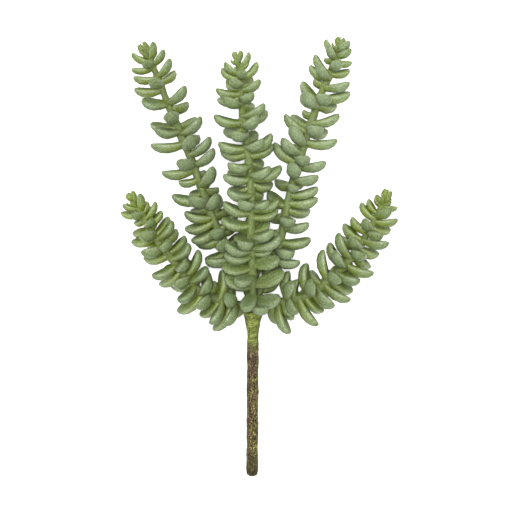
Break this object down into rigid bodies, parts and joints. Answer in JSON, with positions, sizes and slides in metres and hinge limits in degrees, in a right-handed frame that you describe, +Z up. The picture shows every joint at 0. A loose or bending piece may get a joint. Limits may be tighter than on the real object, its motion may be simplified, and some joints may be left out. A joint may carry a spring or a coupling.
{
  "type": "sedum spray",
  "caption": "Cut sedum spray lying on its back: a bare stem with a flared collar and leafy branches fanning out, thick with plump grey-green leaves.",
  "frame": {"origin": "on the surface that the spray lies on, under the middle of its bounding box", "axes": "+Z up from the surface, +Y along the spray from the stem's cut end to the branch tips, +X across it"},
  "size_m": [0.1766, 0.2808, 0.0461],
  "materials": {
    "stem": "brown-purple bark with yellow-green flecks, yellow-green at the collar",
    "centre_leaf": "soft waxy leaf skin with a grey-green bloom",
    "upper_left_leaf": "soft waxy leaf skin with a grey-green bloom",
    "upper_right_leaf": "soft waxy leaf skin with a pale grey-green bloom",
    "lower_left_leaf": "waxy leaf skin, greener and a little glossier",
    "lower_right_leaf": "waxy leaf skin, greener and a little glossier"
  },
  "bodies": {
    "root": {"stem": "stem", "centre_branch": "centre_leaf", "upper_left_branch": "upper_left_leaf", "upper_right_branch": "upper_right_leaf", "lower_left_branch": "lower_left_leaf", "lower_right_branch": "lower_right_leaf"}
  },
  "joints": []
}
